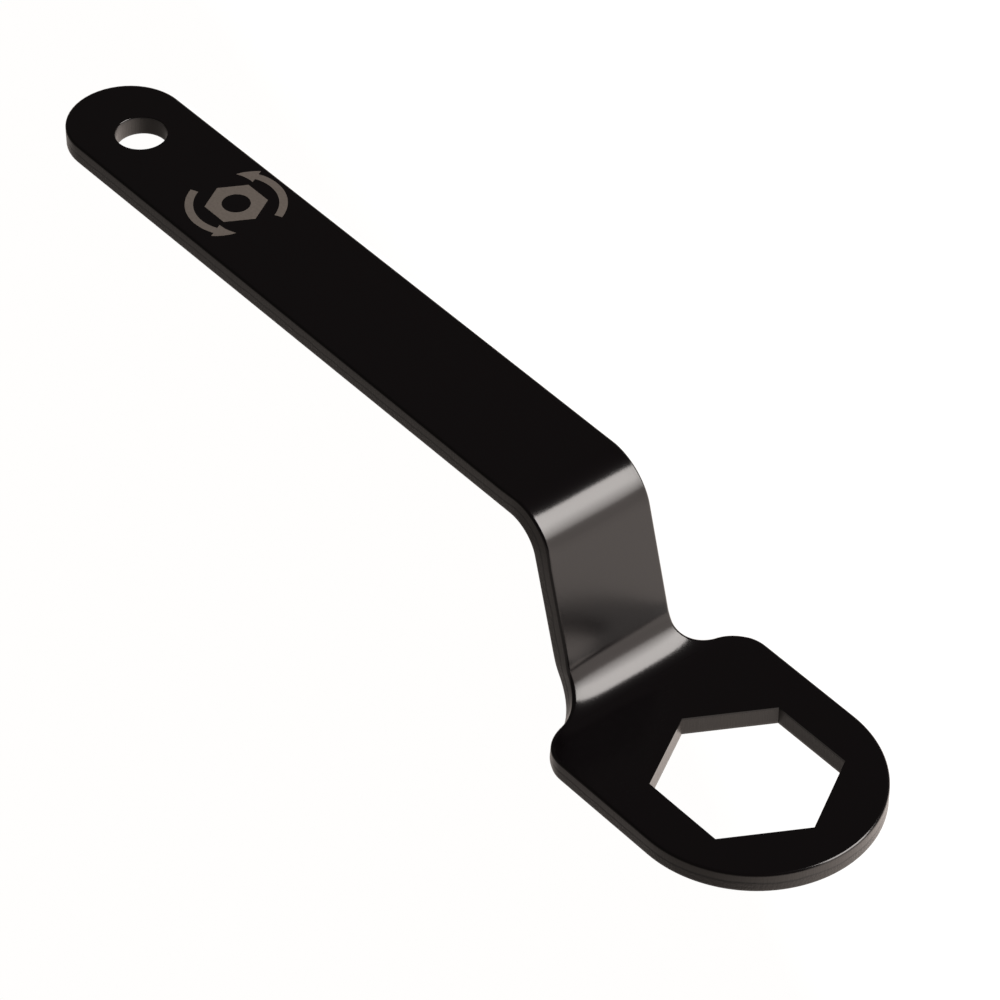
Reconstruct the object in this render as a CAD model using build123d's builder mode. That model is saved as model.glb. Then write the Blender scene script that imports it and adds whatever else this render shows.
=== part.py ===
"""Offset ring wrench for a 1-1/8 in hexagon nut, stamped from one steel plate and bent twice.

Frame: millimetres, +Z up, X along the wrench.  The origin is the centre of the hexagon on the
underside of the head.  The head's tip points to +X, the handle runs towards -X and lies higher.
The plate's blank is measured by station: the distance from the hexagon towards the handle's tip,
along the middle of the plate.
"""
from build123d import *
from math import asin, atan2, cos, radians, sin, tan
import os

# plate
thickness = 3.8                  # 9 gauge steel

# hexagon opening and head
hex_across_flats = 28.6          # 1-1/8 in
head_width = 45.6
head_centre_x = 1.2              # centre of the round tip, a little ahead of the hexagon

# handle
handle_width = 22.4
handle_tip_x = -182.3
hanging_hole_diameter = 9.5      # 3/8 in
hanging_hole_from_tip = 15.5

# the two bends turn the same angle, so the handle is parallel to the head
bend_angle = 75.0
lower_bend_x = -24.2             # where the flat head ends
lower_bend_inner_radius = 9.2    # hollow side on top
upper_bend_inner_radius = 6.4    # hollow side underneath
crank_length = 20.5              # flat stretch between the bends

# shoulders: an S curve from the head's width to the handle's, between two corners of the blank
neck_corner = (29.4, handle_width / 2)
shoulder_corner = (27.1, head_width / 2)
neck_fillet = 7.7
shoulder_fillet = 7.3
points_per_arc = 7
overrun_angle = 12.0             # how far the trimming solid passes both ends of the lower bend

# worked out from the dimensions above
lower_bend_radius = lower_bend_inner_radius + thickness / 2
upper_bend_radius = upper_bend_inner_radius + thickness / 2
lower_axis_z = thickness + lower_bend_inner_radius
half_angle = radians(bend_angle / 2)
shoulder_turn = atan2(shoulder_corner[1] - neck_corner[1], neck_corner[0] - shoulder_corner[0])
neck_centre = (
    neck_corner[0] + neck_fillet * tan(shoulder_turn / 2),
    neck_corner[1] + neck_fillet,
)
shoulder_centre = (
    shoulder_corner[0] - shoulder_fillet * tan(shoulder_turn / 2),
    shoulder_corner[1] - shoulder_fillet,
)
turn_at_bend = asin((-lower_bend_x - shoulder_centre[0]) / shoulder_fillet)


def on_shoulder(turn):
    """Point (station, y) of the convex arc where the edge has turned away from the head's side."""
    return (
        shoulder_centre[0] + shoulder_fillet * sin(turn),
        shoulder_centre[1] + shoulder_fillet * cos(turn),
    )


def on_neck(turn):
    """Point (station, y) of the hollow arc, where the turn falls back to nothing at the handle."""
    return (
        neck_centre[0] - neck_fillet * sin(turn),
        neck_centre[1] - neck_fillet * cos(turn),
    )


def fan_section(distance):
    """The blank's outline around the lower bend, thrown outwards from the bend's axis.

    It lands on a plane square to the middle of the bend, at the given distance from the axis,
    so a ruled loft between two such sections has walls square to the bent plate.
    """
    fan_plane = Plane(
        origin=(lower_bend_x - distance * sin(half_angle), 0, lower_axis_z - distance * cos(half_angle)),
        x_dir=(-cos(half_angle), 0, sin(half_angle)),
        z_dir=(sin(half_angle), 0, cos(half_angle)),
    )

    def across(bend_turned):
        return distance * tan(bend_turned - half_angle)

    steps = [k / (points_per_arc - 1) for k in range(points_per_arc)]
    convex = [on_shoulder(turn_at_bend + (shoulder_turn - turn_at_bend) * k) for k in steps]
    hollow = [on_neck(shoulder_turn * (1 - k)) for k in steps]
    curve = [(across((s + lower_bend_x) / lower_bend_radius), y) for s, y in convex + hollow]
    stretch = distance / lower_bend_radius / cos(half_angle) ** 2
    start_direction = (stretch * cos(turn_at_bend), -sin(turn_at_bend))
    head_end = across(-radians(overrun_angle))
    handle_end = across(radians(bend_angle + overrun_angle))
    with BuildSketch(fan_plane) as section:
        with BuildLine():
            Polyline((head_end, 0), (head_end, curve[0][1]), curve[0])
            Spline(*curve, tangents=(start_direction, (1, 0)))
            Polyline(curve[-1], (handle_end, handle_width / 2), (handle_end, 0))
            mirror(about=Plane.XZ)
        make_face()
    return section.sketch


with BuildPart() as wrench:
    # lower bend: a ring sector as wide as the head, trimmed to the shoulders' S curves
    with BuildSketch(Plane.XZ):
        with BuildLine() as lower_bend:
            JernArc((lower_bend_x, thickness / 2), (-1, 0), lower_bend_radius, -bend_angle)
        trace(line_width=thickness)
    extrude(amount=head_width / 2, both=True)
    near = fan_section(lower_bend_inner_radius - thickness)
    far = fan_section(lower_bend_inner_radius + 2 * thickness)
    loft(sections=[near, far], ruled=True, mode=Mode.INTERSECT)

    # crank, upper bend and handle: one strip of the handle's width
    with BuildSketch(Plane.XZ):
        with BuildLine() as strip:
            crank = PolarLine(
                lower_bend.line @ 1, crank_length, direction=lower_bend.line % 1
            )
            upper_bend = JernArc(crank @ 1, crank % 1, upper_bend_radius, bend_angle)
            Line(upper_bend @ 1, (handle_tip_x, (upper_bend @ 1).Y))
        trace(line_width=thickness)
    extrude(amount=handle_width / 2, both=True)

    # the handle's full-round tip and its hanging hole
    handle_z = (upper_bend @ 1).Y - thickness / 2
    with BuildSketch(Plane.XY.offset(handle_z)):
        with Locations((handle_tip_x + handle_width / 4, 0)):
            Rectangle(handle_width / 2, handle_width)
        with Locations((handle_tip_x + handle_width / 2, 0)):
            Circle(handle_width / 2, mode=Mode.SUBTRACT)
        with Locations((handle_tip_x + hanging_hole_from_tip, 0)):
            Circle(hanging_hole_diameter / 2)
    extrude(amount=thickness, mode=Mode.SUBTRACT)

    # flat head with its round tip
    shoulder_x = -shoulder_centre[0]
    bend_edge_y = on_shoulder(turn_at_bend)[1]
    with BuildSketch():
        with BuildLine():
            tip = CenterArc((head_centre_x, 0), head_width / 2, 0, 90)
            side = Line(tip @ 1, (shoulder_x, head_width / 2))
            shoulder = RadiusArc(side @ 1, (lower_bend_x, bend_edge_y), -shoulder_fillet)
            Line(shoulder @ 1, (lower_bend_x, 0))
            mirror(about=Plane.XZ)
        make_face()
    extrude(amount=thickness)
    with BuildSketch():
        RegularPolygon(hex_across_flats / 2, 6, major_radius=False)
    extrude(amount=thickness, mode=Mode.SUBTRACT)

os.makedirs("parts", exist_ok=True)
wrench.part.label = "offset_hex_wrench"
export_step(wrench.part, "parts/offset_hex_wrench.step")
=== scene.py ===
import bmesh
import bpy
import numpy as np
from mathutils import Matrix, Vector


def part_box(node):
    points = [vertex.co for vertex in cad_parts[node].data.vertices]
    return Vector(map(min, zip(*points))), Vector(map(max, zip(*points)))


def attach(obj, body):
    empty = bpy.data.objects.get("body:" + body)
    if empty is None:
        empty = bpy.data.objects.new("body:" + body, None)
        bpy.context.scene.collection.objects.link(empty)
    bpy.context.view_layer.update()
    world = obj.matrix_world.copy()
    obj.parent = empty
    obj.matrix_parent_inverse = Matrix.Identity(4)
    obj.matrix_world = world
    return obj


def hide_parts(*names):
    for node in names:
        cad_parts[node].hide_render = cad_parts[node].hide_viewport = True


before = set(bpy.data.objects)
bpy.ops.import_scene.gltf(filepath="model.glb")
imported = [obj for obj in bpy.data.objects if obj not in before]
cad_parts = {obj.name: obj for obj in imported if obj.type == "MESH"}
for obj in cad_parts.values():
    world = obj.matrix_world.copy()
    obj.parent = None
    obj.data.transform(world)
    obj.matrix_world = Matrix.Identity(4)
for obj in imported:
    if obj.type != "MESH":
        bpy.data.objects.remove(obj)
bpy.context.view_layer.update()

# ------------------------------------------------------------------------------------------------
# The plate.  One blank of 9 gauge mild steel, sheared to its outline and punched in a press, then
# bent twice over a die so that the handle stands clear of the head, and coated black all over.
# It is drawn on the flat blank first and carried through the two bends afterwards.
# ------------------------------------------------------------------------------------------------
MM = 0.001
plate_low, plate_high = [np.array(corner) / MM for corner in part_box("offset_hex_wrench")]

thickness = 3.8
coat_step = 0.02                   # the upper face lies this much lower, under the etched mark
head_half = plate_high[1]
handle_half = 11.2
head_tip = plate_high[0]
handle_tip = plate_low[0]
hex_flat = 28.6 / 2                # centre to flat
hole_radius = 9.5 / 2
hole_from_tip = 15.5

bend_turn = np.radians(75.0)
lower_start = 24.2                 # stations, in mm from the hexagon towards the handle's tip
lower_radius = 9.2 + thickness / 2
upper_radius = 6.4 + thickness / 2
crank_run = 20.5
crank_start = lower_start + lower_radius * bend_turn
upper_start = crank_start + crank_run
handle_start = upper_start + upper_radius * bend_turn
bend_reach = (lower_radius + upper_radius) * np.sin(bend_turn) + crank_run * np.cos(bend_turn)
tip_station = handle_start - handle_tip - lower_start - bend_reach
hole_station = tip_station - hole_from_tip

edge_swell = 0.22                  # how far a bend pushes the plate's edge out on its hollow side
edge_curl = 0.28                   # how far it turns the edge away from its hollow side
swell_depth = 2.2                  # and how far in from the edge that reaches
bend_margin = 2.5                  # the swelling starts this far outside a bend
bend_crest = 1.3                   # above 1 it keeps its full size over the middle of the bend
rim_widens_at = 34.0               # station where the swollen rim leaves the handle's width
rim_widening = 12.0                # and the run over which it reaches the head's width


def through_bends(station):
    """Middle line of the plate: how far it has gone back, how high it has risen, and its turn.

    The flat head runs straight back, the lower bend adds a circle's sine and versine, the crank
    runs on at the full turn, and the upper bend turns it back by the same amount.
    """
    q = np.clip((station - lower_start) / lower_radius, 0, bend_turn)
    p = np.clip((station - upper_start) / upper_radius, 0, bend_turn)
    flat = np.minimum(station, lower_start)
    crank = np.clip(station - crank_start, 0, crank_run)
    handle = np.maximum(station - handle_start, 0)
    back = flat + lower_radius * np.sin(q) + crank * np.cos(bend_turn) + handle
    back += upper_radius * (np.sin(bend_turn) - np.sin(bend_turn - p))
    rise = lower_radius * (1 - np.cos(q)) + crank * np.sin(bend_turn)
    rise += upper_radius * (np.cos(bend_turn - p) - np.cos(bend_turn))
    return back, rise, q - p


def smooth_step(t):
    """Rises from 0 to 1 with level ends: three t squared less two t cubed."""
    t = np.clip(t, 0, 1)
    return t * t * (3 - 2 * t)


def bend_share(station, start, end):
    """1 in the middle of a bend, falling smoothly to 0 a little way outside it on both sides."""
    middle = (start + end) / 2
    reach = (end - start) / 2 + bend_margin
    return smooth_step((reach - np.abs(station - middle)) / reach * bend_crest)


def bent(blank):
    """Points (x, y, depth) of the flat blank, in mm, carried onto the bent plate, in metres.

    Depth counts down from the upper face.  A point leaves the middle line along the turned
    normal by half the thickness less its depth.  Near the plate's edge each bend swells its
    hollow side and draws in its outer side, by an amount that dies away into the plate.
    Nothing passes the underside of the head or the top of the handle.
    """
    x, y, depth = np.moveaxis(blank, -1, 0)
    station = -x
    back, rise, turn = through_bends(station)
    height = thickness / 2 - depth
    in_lower = bend_share(station, lower_start, crank_start)
    in_upper = bend_share(station, upper_start, handle_start)
    widened = smooth_step((rim_widens_at - station) / rim_widening)
    rim = handle_half + (head_half - handle_half) * widened
    near_rim = np.exp(-np.maximum(rim - np.abs(y), 0) / swell_depth) * (in_lower - in_upper)
    swell = edge_swell * height / (thickness / 2) * near_rim
    height = height - edge_curl * near_rim
    return np.stack(
        [
            -back + height * np.sin(turn),
            y + np.sign(y) * swell,
            np.clip(thickness / 2 + rise + height * np.cos(turn), plate_low[2], plate_high[2]),
        ],
        -1,
    ) * MM


# Outline of the blank, all the way round and anticlockwise seen from above: the head, the far
# edge with its shoulder, the tip, and the near edge.  Each stretch is points with outward normals.
head_round_x = head_tip - head_half
shoulder_fillet = 7.3
neck_fillet = 7.7
shoulder_corner = np.array([-27.1, head_half])
neck_corner = np.array([-29.4, handle_half])
shoulder_turn = np.arctan2(head_half - handle_half, shoulder_corner[0] - neck_corner[0])
shoulder_centre = shoulder_corner + [shoulder_fillet * np.tan(shoulder_turn / 2), -shoulder_fillet]
neck_centre = neck_corner + [-neck_fillet * np.tan(shoulder_turn / 2), neck_fillet]
head_seam_x = shoulder_centre[0]   # where the head's ring of faces meets the strip's rows
hole_x = -hole_station
tip_seam_x = hole_x + 14.0         # and where the strip's rows meet the tip's ring
tip_round_x = -tip_station + handle_half


def between(knots, step):
    """Numbers that pass through every knot, evenly spaced between knots and about a step apart."""
    runs = [
        np.linspace(a, b, max(2, int(np.ceil(abs(b - a) / step)) + 1))[:-1]
        for a, b in zip(knots[:-1], knots[1:])
    ]
    return np.concatenate(runs + [[knots[-1]]])


def round_end(angle, eye_x, round_x, half, facing):
    """Outline of a round end seen from its opening's centre, at angles from the way it faces.

    A ray ends where its height reaches the half width, as long as that is short of the round's
    centre.  Past it, the ray's length solves the circle's equation.
    """
    c = facing * (round_x - eye_x)
    sine, cosine = np.sin(angle), np.cos(angle)
    side_length = half / np.maximum(np.abs(sine), 1e-9)
    on_side = side_length * cosine < c
    round_length = c * cosine + np.sqrt(half**2 - (c * sine) ** 2)
    length = np.where(on_side, side_length, round_length)
    points = np.stack([eye_x + facing * length * cosine, facing * length * sine], -1)
    side_normal = np.stack([np.zeros_like(angle), facing * np.sign(sine)], -1)
    return points, np.where(on_side[:, None], side_normal, (points - [round_x, 0]) / half)


def shoulder_edge():
    """Far edge of the blank from the head's seam to the tip's, with outward normals.

    The convex shoulder and the hollow neck are circle arcs by the angle that the edge has
    turned, and the rest is straight with a row of points wherever a bend starts or ends.
    """
    bend_turned = np.arcsin((shoulder_centre[0] + lower_start) / shoulder_fillet)
    arc_step = np.radians(4)
    out = between([0, bend_turned, shoulder_turn], arc_step)
    back = between([shoulder_turn, 0], arc_step)
    out_normal = np.stack([-np.sin(out), np.cos(out)], -1)
    back_normal = np.stack([-np.sin(back), np.cos(back)], -1)
    lower_run = between([neck_centre[0], -crank_start], 0.4)[1:]
    crank = between([-crank_start, -upper_start], 1.5)[1:]
    upper_run = between([-upper_start, -handle_start], 0.3)[1:]
    handle = between([-handle_start, tip_seam_x], 2.5)[1:]
    straight_x = np.concatenate([lower_run, crank, upper_run, handle])
    straight = np.stack([straight_x, np.full_like(straight_x, handle_half)], -1)
    convex = shoulder_centre + shoulder_fillet * out_normal
    hollow = neck_centre - neck_fillet * back_normal
    points = [convex, hollow, straight]
    normals = [out_normal, back_normal, np.tile([0.0, 1.0], (len(straight), 1))]
    return np.concatenate(points), np.concatenate(normals)


across = np.sin(np.linspace(np.pi / 2, -np.pi / 2, 33))     # rows are finer towards the edges
seam_angle = np.arctan2(head_half, head_seam_x)
head_side_angle = np.arctan2(head_half, head_round_x)
hex_corner = np.pi / 3
head_angle = between(
    [-seam_angle, -2 * hex_corner, -head_side_angle, -hex_corner, 0]
    + [hex_corner, head_side_angle, 2 * hex_corner, seam_angle],
    np.radians(2.5),
)
tip_seam_angle = np.arctan2(handle_half, -(tip_seam_x - hole_x))
tip_side_angle = np.arctan2(handle_half, hole_x - tip_round_x)
tip_angle = between([-tip_seam_angle, -tip_side_angle, 0, tip_side_angle, tip_seam_angle], np.radians(5))
head_edge, head_normal = round_end(head_angle, 0, head_round_x, head_half, 1)
tip_edge, tip_normal = round_end(tip_angle, hole_x, tip_round_x, handle_half, -1)
far_edge, far_normal = shoulder_edge()
mirror_y = np.array([1, -1])
outline = np.concatenate([head_edge[:-1], far_edge[:-1], tip_edge[:-1], (far_edge * mirror_y)[:0:-1]])
outline_normal = np.concatenate(
    [head_normal[:-1], far_normal[:-1], tip_normal[:-1], (far_normal * mirror_y)[:0:-1]]
)


# Cross-sections of the three cut edges, as (distance into the plate, depth).  The outline has a
# wide roll from blanking, a burnished land, a torn lower part and a small break underneath.  The
# two openings have the same parts with a much smaller roll.
def cut_section(roll, roll_depth, land_end, tear, lower_break):
    """A quarter ellipse of roll, a straight land, a torn part leaning in and a small chamfer."""
    margin_width = 0.2
    quarter = np.linspace(0, np.pi / 2, 8)
    roll_part = np.stack([roll * (1 - np.sin(quarter)), roll_depth * (1 - np.cos(quarter))], -1)
    margin = [[roll + margin_width, 0]]
    land_part = [[0, roll_depth + 0.05], [0, land_end - 0.05]]
    tear_depth = np.linspace(land_end + 0.1, thickness - lower_break, 5)
    tear_in = tear * np.linspace(0.5, 1, 5)
    lower_part = [
        [tear + lower_break * 0.25, thickness - lower_break * 0.45],
        [tear + lower_break, thickness],
        [tear + lower_break + margin_width, thickness],
    ]
    tear_part = np.stack([tear_in, tear_depth], -1)
    section = np.concatenate([margin, roll_part, land_part, tear_part, lower_part])
    section[:, 1] = np.maximum(section[:, 1], coat_step)
    return section


outer_section = cut_section(0.6, 0.5, 1.9, 0.02, 0.05)
hex_section = cut_section(0.1, 0.15, 1.3, 0.01, 0.04)
hole_section = cut_section(0.15, 0.2, 1.8, 0.01, 0.04)


def with_depth(points, depth):
    """Plan points given a depth each."""
    return np.concatenate([points, np.broadcast_to(depth, points.shape[:-1])[..., None]], -1)


def outer_wall():
    """The outline's cross-section carried round the blank, set in along the outline's normals."""
    inset, depth = outer_section[:, 0], outer_section[:, 1]
    points = outline[:, None] - outline_normal[:, None] * inset[None, :, None]
    return with_depth(points, depth[None])


def hexagon(angle):
    """The opening's plan by angle: the distance to a flat over the cosine from its middle."""
    from_flat = np.mod(angle, hex_corner) - hex_corner / 2
    return hex_flat / np.cos(from_flat)


def seam_row(seam_x, half, inset, side):
    """Inner points of the row across a seam, from one edge to the other."""
    y = side * across[1:-1] * (half - inset)
    return np.stack([np.full_like(y, seam_x), y], -1)


def opening_wall(angle, centre_x, reach, section, size):
    """An opening's cross-section carried round it, grown outwards in proportion to its size."""
    grown = reach[:, None] * (1 + section[None, :, 0] / size)
    x = centre_x + grown * np.cos(angle)[:, None]
    y = grown * np.sin(angle)[:, None]
    return with_depth(np.stack([x, y], -1), section[None, :, 1])


def ring_face(outer, inner, rings):
    """Flat ring of faces between two loops with the same number of points, in straight steps."""
    t = np.linspace(0, 1, rings + 1)[None, :, None]
    return outer[:, None] * (1 - t) + inner[:, None] * t


def strip_face(inset, depth):
    """Face of the strip between the seams: rows straight across from edge to edge."""
    edge = far_edge - far_normal * inset
    x = np.broadcast_to(edge[:, None, 0], (len(edge), len(across)))
    y = edge[:, None, 1] * across[None]
    return with_depth(np.stack([x, y], -1), depth)


hex_angle = np.concatenate(
    [head_angle, np.mod(np.arctan2(across[1:-1] * head_half, head_seam_x), 2 * np.pi)]
)
hex_wall = opening_wall(hex_angle, 0, hexagon(hex_angle), hex_section, hex_flat)
hole_angle = np.concatenate(
    [tip_angle + np.pi, np.arctan2(-across[1:-1] * handle_half, tip_seam_x - hole_x)]
)
hole_wall = opening_wall(
    hole_angle, hole_x, np.full_like(hole_angle, hole_radius), hole_section, hole_radius
)
rings = 8
patches = [(outer_wall(), True), (hex_wall, True), (hole_wall, True)]
for end in (0, -1):
    inset, depth = outer_section[end]
    head_loop = np.concatenate(
        [head_edge - head_normal * inset, seam_row(head_seam_x, head_half, inset, 1)]
    )
    tip_loop = np.concatenate(
        [tip_edge - tip_normal * inset, seam_row(tip_seam_x, handle_half, inset, -1)]
    )
    patches.append((ring_face(with_depth(head_loop, depth), hex_wall[:, end], rings), True))
    patches.append((ring_face(with_depth(tip_loop, depth), hole_wall[:, end], rings), True))
    patches.append((strip_face(inset, depth), False))


def grid_quads(rows, columns, closed, first):
    """Corners of a grid's quads, row by row.  A closed grid's last row joins its first."""
    row = np.arange(rows if closed else rows - 1)[:, None]
    column = np.arange(columns - 1)[None]
    near = row * columns + column
    far = (row + 1) % rows * columns + column
    return np.stack([near, far, far + 1, near + 1], -1).reshape(-1, 4) + first


def joined(grids):
    """Points and quads of several grids, each given with whether its rows close on themselves."""
    quads, points = [], []
    count = 0
    for grid, closed in grids:
        quads.append(grid_quads(grid.shape[0], grid.shape[1], closed, count))
        points.append(grid.reshape(-1, grid.shape[-1]))
        count += len(points[-1])
    return np.concatenate(points), np.concatenate(quads)


def mesh_from_patches(name, patches):
    """One welded mesh from grids of blank points, which keeps those points as an attribute."""
    blank, quads = joined(patches)
    mesh = bpy.data.meshes.new(name)
    mesh.from_pydata(bent(blank), [], quads)
    layer = mesh.attributes.new("blank", "FLOAT_VECTOR", "POINT")
    layer.data.foreach_set("vector", (blank * MM).ravel())
    work = bmesh.new()
    work.from_mesh(mesh)
    bmesh.ops.remove_doubles(work, verts=work.verts, dist=1e-6)
    bmesh.ops.recalc_face_normals(work, faces=work.faces)
    work.to_mesh(mesh)
    work.free()
    mesh.shade_smooth()
    mesh.set_sharp_from_angle(angle=np.radians(32))
    return mesh


def place(mesh):
    """Puts a mesh into the scene as a piece that rides on the wrench's one body."""
    piece = bpy.data.objects.new(mesh.name, mesh)
    bpy.context.collection.objects.link(piece)
    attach(piece, "root")
    return piece


plate = place(mesh_from_patches("coated_steel_plate", patches))
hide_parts("offset_hex_wrench")


# Black coating, a thin baked enamel over sheared steel: a dielectric film, near black, glossy with
# a fine grain where it lies on rolled plate, duller and streaked where it lies on the cut edges.
def linear(code):
    """sRGB hex code to the linear colour that a shader takes."""
    value = np.array([int(code[k : k + 2], 16) for k in (0, 2, 4)]) / 255
    low = value / 12.92
    high = ((value + 0.055) / 1.055) ** 2.4
    return (*np.where(value <= 0.04045, low, high).tolist(), 1.0)


def add_node(tree, kind, links=None, **settings):
    """Adds a node, sets its sockets and properties by name, and links its sockets by name."""
    node = tree.nodes.new(kind)
    for name, value in settings.items():
        if hasattr(node, name):
            setattr(node, name, value)
        else:
            node.inputs[name.replace("_", " ")].default_value = value
    for name, source in (links or {}).items():
        tree.links.new(source, node.inputs[name])
    return node


def new_material(name):
    """An empty node material and its output node."""
    material = bpy.data.materials.new(name)
    material.use_nodes = True
    material.node_tree.nodes.clear()
    return material, material.node_tree, material.node_tree.nodes.new("ShaderNodeOutputMaterial")


def share(tree, source, low, high, start=0.0, end=1.0, course="SMOOTHSTEP"):
    """Passes from start to end while a value goes from low to high, smoothly or straight."""
    return add_node(
        tree,
        "ShaderNodeMapRange",
        {"Value": source},
        interpolation_type=course,
        From_Min=low,
        From_Max=high,
        To_Min=start,
        To_Max=end,
    ).outputs["Result"]


def combine(tree, operation, first, second):
    """One arithmetic step between two values or sockets."""
    node = add_node(tree, "ShaderNodeMath", operation=operation)
    for socket, value in zip(node.inputs, (first, second)):
        if isinstance(value, (int, float)):
            socket.default_value = value
        else:
            tree.links.new(value, socket)
    return node.outputs["Value"]


def against(tree, operation, vector, fixed):
    """Number that a vector step gives between a socket and a fixed vector."""
    node = add_node(tree, "ShaderNodeVectorMath", {0: vector}, operation=operation)
    node.inputs[1].default_value = fixed
    return node.outputs["Value"]


def blend(tree, factor, first, second):
    """Mix from a first colour to a second.  Each is an sRGB hex code or a socket."""
    node = add_node(tree, "ShaderNodeMix", {"Factor": factor}, data_type="RGBA")
    first_colour, second_colour, blended = node.inputs[6], node.inputs[7], node.outputs[2]
    for socket, colour in ((first_colour, first), (second_colour, second)):
        if isinstance(colour, str):
            socket.default_value = linear(colour)
        else:
            tree.links.new(colour, socket)
    return blended


def noise(tree, vector, size, detail, stretch=(1, 1, 1)):
    """Noise with lumps of a real size, in metres, drawn out along the axes by stretch."""
    scaled = add_node(tree, "ShaderNodeVectorMath", {0: vector}, operation="DIVIDE")
    scaled.inputs[1].default_value = [size * part for part in stretch]
    return add_node(
        tree, "ShaderNodeTexNoise", {"Vector": scaled.outputs["Vector"]}, Scale=1.0, Detail=detail
    ).outputs["Fac"]


def black_enamel():
    """Coating that reads the flat blank's own coordinates, so its grain follows the bends.

    Rolled faces carry a fine grain drawn out along the plate.  Cut edges carry the press's
    upright streaks.  The outline's edge also has a dark wavering seam, with the lumps of torn
    steel below it, which the hexagon and the hanging hole don't have.
    """
    material, tree, output = new_material("black_baked_enamel")
    blank = add_node(tree, "ShaderNodeAttribute", attribute_name="blank").outputs["Vector"]
    depth = add_node(tree, "ShaderNodeSeparateXYZ", {"Vector": blank}).outputs["Z"]
    below_roll = share(tree, depth, 0.25 * MM, 0.6 * MM)
    above_bottom = share(tree, depth, 3.55 * MM, 3.75 * MM, 1.0, 0.0)
    on_cut = combine(tree, "MULTIPLY", below_roll, above_bottom)
    waver = combine(tree, "MULTIPLY", noise(tree, blank, 5.0 * MM, 1.0), 0.7 * MM)
    torn_line = combine(tree, "ADD", depth, waver)
    torn = combine(tree, "MULTIPLY", share(tree, torn_line, 2.2 * MM, 2.6 * MM), on_cut)
    past_seam = share(tree, torn_line, 2.35 * MM, 2.8 * MM)
    seam = combine(tree, "SUBTRACT", share(tree, torn_line, 1.9 * MM, 2.3 * MM), past_seam)
    seam = combine(tree, "MULTIPLY", seam, on_cut)
    for opening_x, reach in ((0, 19 * MM), (hole_x * MM, 8 * MM)):
        from_opening = against(tree, "DISTANCE", blank, (opening_x, 0, 0))
        outside = share(tree, from_opening, reach - MM, reach + MM)
        torn = combine(tree, "MULTIPLY", torn, outside)
        seam = combine(tree, "MULTIPLY", seam, outside)

    grain = noise(tree, blank, 0.3 * MM, 3.0, (3.0, 1.0, 1.0))
    streaks = noise(tree, blank, 0.25 * MM, 2.0, (1, 1, 12))
    lumps = noise(tree, blank, 0.4 * MM, 3.0)
    grain_height = combine(tree, "MULTIPLY", grain, 0.0065 * MM)
    streak_height = combine(tree, "MULTIPLY", combine(tree, "MULTIPLY", streaks, on_cut), 0.03 * MM)
    lump_height = combine(tree, "MULTIPLY", combine(tree, "MULTIPLY", lumps, torn), 0.08 * MM)
    relief = combine(tree, "ADD", combine(tree, "ADD", grain_height, streak_height), lump_height)
    bump = add_node(tree, "ShaderNodeBump", {"Height": relief}, Strength=1.0, Distance=1.0)
    roughness = combine(tree, "ADD", combine(tree, "MULTIPLY", on_cut, 0.16), 0.165)
    colour = "0b080a"
    for factor, code in ((on_cut, "2c2825"), (torn, "221e1b"), (seam, "0b0908")):
        colour = blend(tree, factor, colour, code)
    shader = add_node(
        tree,
        "ShaderNodeBsdfPrincipled",
        {"Normal": bump.outputs["Normal"], "Roughness": roughness, "Base Color": colour},
        IOR=1.6,
    )
    tree.links.new(shader.outputs["BSDF"], output.inputs["Surface"])
    return material


plate.data.materials.append(black_enamel())

# ------------------------------------------------------------------------------------------------
# The mark near the hanging hole.  A laser burns the black coating to a pale matt grey.  It is a
# plain sign for turning a nut: a hexagon with a round hole, between two curved arrows.
# ------------------------------------------------------------------------------------------------
mark_centre = (-139.6, 0.9)
mark_top = plate_high[2] - 0.002
mark_depth = 0.012
nut_flat = 4.9                     # centre to flat
nut_hole = 2.6
arrow_radius = 8.4
arrow_width = 1.5
arrow_head_width = 3.4
arrow_sweep = np.radians(118)
arrow_head_sweep = np.radians(26)
first_arrow = np.radians(25)       # where the first starts, with the second half a turn on


def nut_sign():
    """Ring between a circle and a hexagon, by angle and share of the way out."""
    angle = between(list(np.arange(7) * hex_corner), np.radians(6))[:-1, None]
    way_out = np.linspace(0, 1, 3)[None]
    from_flat = np.mod(angle, hex_corner) - hex_corner / 2
    reach = nut_hole + (nut_flat / np.cos(from_flat) - nut_hole) * way_out
    return np.stack([reach * np.cos(angle), reach * np.sin(angle)], -1), True


def curved_arrow(first_angle):
    """Arc of even width that widens at once into a head, which narrows to a point."""
    shaft = np.linspace(0, arrow_sweep - arrow_head_sweep, 24)
    head = np.linspace(arrow_sweep - arrow_head_sweep, arrow_sweep, 10)
    point_width = 0.02
    head_width = np.linspace(arrow_head_width, point_width, len(head))
    width = np.concatenate([np.full(len(shaft), arrow_width), head_width])
    angle = first_angle + np.concatenate([shaft, head])[:, None]
    reach = arrow_radius + width[:, None] / 2 * np.linspace(-1, 1, 3)[None]
    return np.stack([reach * np.cos(angle), reach * np.sin(angle)], -1), False


def etched_mark():
    """Thin flat sign over the lowered upper face, up to 0.01 mm above the handle's top."""
    plan, quads = joined([nut_sign(), curved_arrow(first_arrow), curved_arrow(first_arrow + np.pi)])
    mesh = bpy.data.meshes.new("etched_mark")
    mesh.from_pydata(with_depth(plan + mark_centre, mark_top) * MM, [], quads)
    piece = place(mesh)
    body = piece.modifiers.new("burnt_depth", "SOLIDIFY")
    body.thickness = mark_depth * MM
    body.offset = -1.0
    return piece


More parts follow.
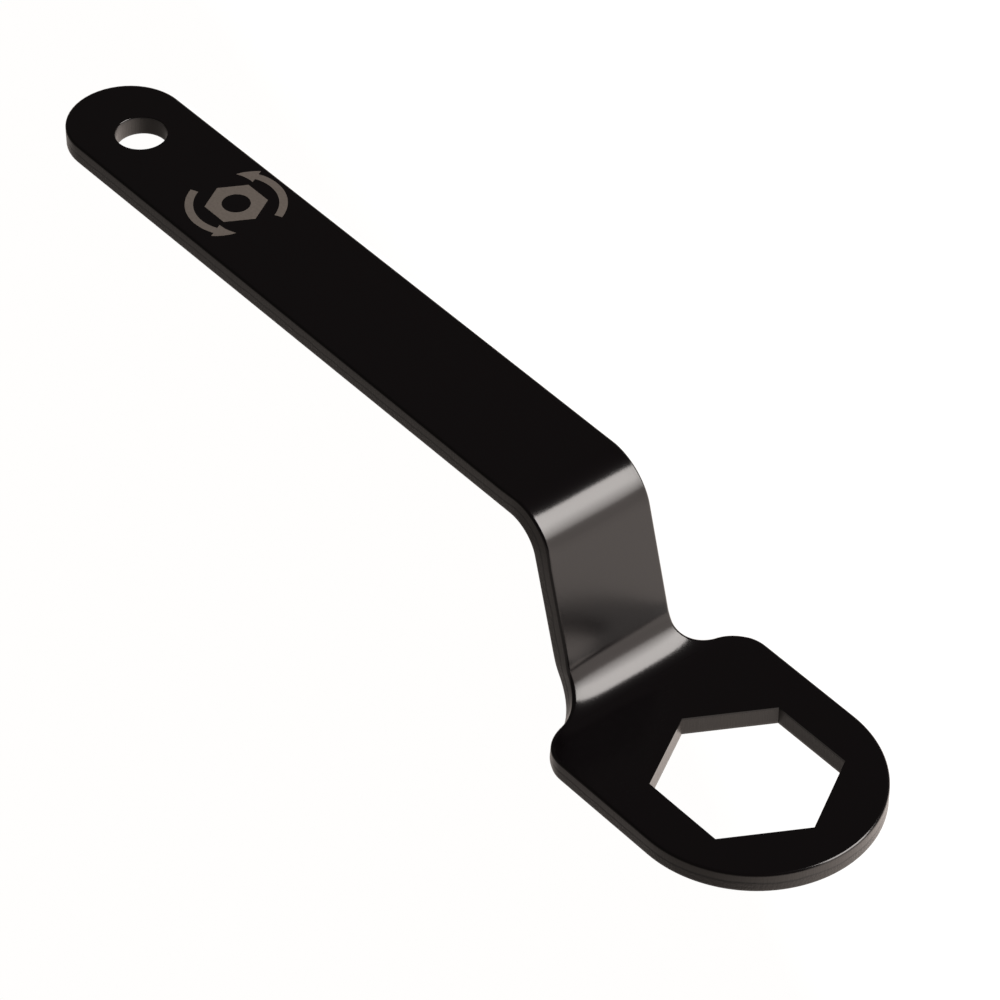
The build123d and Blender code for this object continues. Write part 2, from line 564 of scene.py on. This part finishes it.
def laser_burnt_grey():
    """Pale burnt coating: matt, speckled between two close greys."""
    material, tree, output = new_material("laser_burnt_grey")
    place_on_handle = add_node(tree, "ShaderNodeTexCoord").outputs["Object"]
    speckle = noise(tree, place_on_handle, 0.5 * MM, 3.0)
    colour = blend(tree, speckle, "6f6862", "8a827b")
    shader = add_node(tree, "ShaderNodeBsdfPrincipled", {"Base Color": colour}, Roughness=0.5, IOR=1.5)
    tree.links.new(shader.outputs["BSDF"], output.inputs["Surface"])
    return material


mark = etched_mark()
mark.data.materials.append(laser_burnt_grey())

# ------------------------------------------------------------------------------------------------
# The studio: a floor well below the wrench, one large soft box high on the camera's right, and
# walls that are bright only on that side.  Floor and walls look evenly white to the camera, but the
# light that they throw is uneven and slightly warm.
# ------------------------------------------------------------------------------------------------


def backdrop_glow(tree, kind, thrown):
    """Emission that looks white to the camera and throws a warmer light of its own strength."""
    seen = add_node(tree, "ShaderNodeLightPath").outputs["Is Camera Ray"]
    colour = blend(tree, seen, "fff2ea", "fffefd")
    strength = combine(tree, "MAXIMUM", thrown, seen)
    return add_node(tree, kind, {"Strength": strength, "Color": colour})


def pale_floor():
    """Wide floor under the wrench, which throws more light on the camera's right.

    It throws the most from a round pool behind the wrench.
    """
    half_side, drop = 6.0, 0.3
    brighter_along = (0.25, 0.97, 0)
    pool_centre = (-0.06, 0.34, 0)
    mesh = bpy.data.meshes.new("pale_floor")
    corners = np.array([[-1, -1, 0], [1, -1, 0], [1, 1, 0], [-1, 1, 0]]) * [half_side, half_side, 1]
    mesh.from_pydata(corners - [0, 0, drop], [], [(0, 1, 2, 3)])
    floor = bpy.data.objects.new("pale_floor", mesh)
    bpy.context.collection.objects.link(floor)
    material, tree, output = new_material("white_paper")
    place_on_floor = add_node(tree, "ShaderNodeTexCoord").outputs["Object"]
    along = against(tree, "DOT_PRODUCT", place_on_floor, brighter_along)
    apart = against(tree, "DISTANCE", place_on_floor, pool_centre)
    slope = share(tree, along, -0.28, 0.31, 0.22, 1.3, "LINEAR")
    pool = share(tree, apart, 0.1, 0.4, 0.8, 0.0)
    thrown = combine(tree, "ADD", slope, pool)
    glow = backdrop_glow(tree, "ShaderNodeEmission", thrown)
    tree.links.new(glow.outputs["Emission"], output.inputs["Surface"])
    mesh.materials.append(material)


pale_floor()


def standing(at, across, up, back):
    """Placement at a point, with X, Y and Z turned to three directions."""
    return Matrix.Translation(at) @ Matrix((across, up, back)).transposed().to_4x4()


def soft_box(name, toward, along, distance, width, depth, radiance):
    """Flat soft box facing the wrench from a direction, fading out along one of its sides.

    Its power is radiance times pi times area.
    """
    data = bpy.data.lights.new(name, "AREA")
    data.shape = "RECTANGLE"
    data.size, data.size_y = width, depth
    data.energy = radiance * np.pi * width * depth
    data.use_nodes = True
    tree = data.node_tree
    tree.nodes.clear()
    parametric = add_node(tree, "ShaderNodeNewGeometry").outputs["Parametric"]
    across_box = add_node(tree, "ShaderNodeSeparateXYZ", {"Vector": parametric}).outputs["X"]
    fade = share(tree, across_box, 0.5, 1.0, 1.0, 0.14, "LINEAR")
    glow = add_node(tree, "ShaderNodeEmission", {"Strength": fade}, Color=linear("fff9f5"))
    add_node(tree, "ShaderNodeOutputLight", {"Surface": glow.outputs["Emission"]})
    toward = Vector(toward).normalized()
    along = Vector(along)
    along = (along - toward * along.dot(toward)).normalized()
    lamp = bpy.data.objects.new(name, data)
    bpy.context.collection.objects.link(lamp)
    lamp.matrix_world = standing(toward * distance, along, toward.cross(along), toward)


soft_box(
    "high_soft_box",
    toward=(0.590, 0.530, 0.609),
    along=(0.70, 0, -0.714),
    distance=1.5,
    width=1.17,
    depth=0.9,
    radiance=8.6,
)

world = bpy.data.worlds.new("studio_walls")
world.use_nodes = True
tree = world.node_tree
tree.nodes.clear()
direction = add_node(tree, "ShaderNodeTexCoord").outputs["Generated"]
to_wall = against(tree, "DOT_PRODUCT", direction, (0.866, 0.5, 0))
wall = share(tree, to_wall, 0.80, 0.97, 0.05, 1.2)
background = backdrop_glow(tree, "ShaderNodeBackground", wall)
add_node(tree, "ShaderNodeOutputWorld", {"Surface": background.outputs["Background"]})
bpy.context.scene.world = world

bpy.context.scene.view_settings.view_transform = "Standard"

# The camera stands well back with a long lens, so the wrench is seen with little perspective.
view_azimuth = np.radians(50.64)
view_height = np.radians(41.70)
view_distance = 0.8680
view_aim = Vector((-0.07140, 0.00548, 0.01189))
back = Vector(
    (
        np.sin(view_azimuth) * np.cos(view_height),
        -np.cos(view_azimuth) * np.cos(view_height),
        np.sin(view_height),
    )
)
right = Vector((np.cos(view_azimuth), np.sin(view_azimuth), 0))
up = back.cross(right)
lens = bpy.data.cameras.new("studio_camera")
lens.sensor_width = 36.0
lens.lens = lens.sensor_width * 5.005
lens.clip_start = 0.05
lens.clip_end = 50.0
camera = bpy.data.objects.new("studio_camera", lens)
bpy.context.collection.objects.link(camera)
camera.matrix_world = standing(view_aim + back * view_distance, right, up, back)
bpy.context.scene.camera = camera
